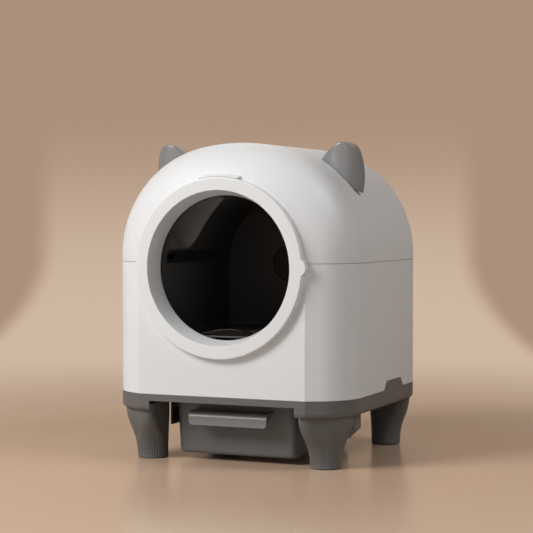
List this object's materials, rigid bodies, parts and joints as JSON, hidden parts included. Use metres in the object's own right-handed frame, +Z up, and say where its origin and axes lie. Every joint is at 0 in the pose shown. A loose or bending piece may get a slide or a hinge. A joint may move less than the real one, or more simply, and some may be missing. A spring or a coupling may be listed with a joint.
{
  "type": "smart litter box",
  "caption": "Self-cleaning litter box: turning drum inside a lift-off hood with ears, round entrance ring, waste drawer with handle, grey base on flared legs.",
  "frame": {"origin": "middle of the body's footprint on the floor", "axes": "+Z up, entrance and drawer face -Y, +X to the right seen from the front"},
  "size_m": [0.518, 0.5212, 0.648],
  "materials": {
    "white_shell": "satin",
    "grey_plastic": "matt",
    "ear_grey": "satin",
    "dark_plastic": "satin",
    "inner_grey": "matt",
    "port_grey": "satin",
    "ring_white": "satin",
    "foot_rubber": "matt",
    "seal_rubber": "matt",
    "steel": "brushed",
    "aluminium": "satin",
    "led_blue": "gloss",
    "board_green": "gloss",
    "gear_white": "satin",
    "bush_bronze": "satin",
    "magnet": "satin"
  },
  "bodies": {
    "housing": {"lower_body": "white_shell", "front_ring": "ring_white", "rear_cover": "white_shell", "base_frame": "grey_plastic", "drawer_runner_left": "dark_plastic", "drawer_runner_right": "dark_plastic", "axle_bush": "bush_bronze", "bulkhead": "inner_grey", "gear_motor": "steel", "waste_chute": "inner_grey", "control_board": "board_green", "board_spacers": "aluminium", "power_inlet": "dark_plastic", "hall_sensor": "dark_plastic", "status_led": "led_blue", "collar_seal": "seal_rubber", "roller_pin_left": "steel", "roller_bracket_left": "inner_grey", "roller_pin_right": "steel", "roller_bracket_right": "inner_grey", "leg_front_left": "grey_plastic", "foot_pad_front_left": "foot_rubber", "load_cell_front_left": "aluminium", "leg_front_right": "grey_plastic", "foot_pad_front_right": "foot_rubber", "load_cell_front_right": "aluminium", "leg_rear_left": "grey_plastic", "foot_pad_rear_left": "foot_rubber", "load_cell_rear_left": "aluminium", "leg_rear_right": "grey_plastic", "foot_pad_rear_right": "foot_rubber", "load_cell_rear_right": "aluminium", "cover_screws": "steel", "ring_screws": "steel", "motor_screws": "steel", "bracket_screws": "steel", "leg_screws": "steel"},
    "drum": {"drum_shell": "inner_grey", "drum_liner": "dark_plastic", "sieve_grille": "dark_plastic", "port_duct": "port_grey", "drum_front": "dark_plastic", "entry_sill": "dark_plastic", "drum_gear": "gear_white", "drum_axle": "steel", "hub_cap": "dark_plastic", "axle_clip": "steel", "position_magnet": "magnet"},
    "pinion": {"drive_pinion": "gear_white", "drive_shaft": "steel"},
    "drawer": {"drawer_box": "grey_plastic", "drawer_handle": "ear_grey", "bag_frame": "inner_grey", "handle_screws": "steel"},
    "hood_cover": {"hood": "white_shell", "ear_left": "ear_grey", "ear_right": "ear_grey", "sensor_cover": "white_shell"},
    "roller_right": {"support_roller_right": "gear_white"},
    "roller_left": {"support_roller_left": "gear_white"}
  },
  "joints": [
    {"name": "drum_turn", "type": "hinge", "parent": "housing", "child": "drum", "pos_m": [0, 0.133, 0.395], "axis": [0, 1, 0], "continuous": true},
    {"name": "pinion_spin", "type": "hinge", "parent": "housing", "child": "pinion", "pos_m": [0.13651, 0.104, 0.20004], "axis": [0, 1, 0], "continuous": true},
    {"name": "roller_right_spin", "type": "hinge", "parent": "housing", "child": "roller_right", "pos_m": [0.10015, -0.215, 0.22154], "axis": [0, 1, 0], "continuous": true},
    {"name": "roller_left_spin", "type": "hinge", "parent": "housing", "child": "roller_left", "pos_m": [-0.10015, -0.215, 0.22154], "axis": [0, 1, 0], "continuous": true},
    {"name": "drawer_slide", "type": "slide", "parent": "housing", "child": "drawer", "axis": [0, -1, 0], "range_m": [0, 0.28]},
    {"name": "hood_lift", "type": "slide", "parent": "housing", "child": "hood_cover", "axis": [0, 0, 1], "range_m": [0, 0.3]}
  ],
  "couplings": [
    {"joint": "pinion_spin", "follows": "drum_turn", "ratio": -8.7143},
    {"joint": "roller_right_spin", "follows": "drum_turn", "ratio": -15.667},
    {"joint": "roller_left_spin", "follows": "drum_turn", "ratio": -15.667}
  ]
}
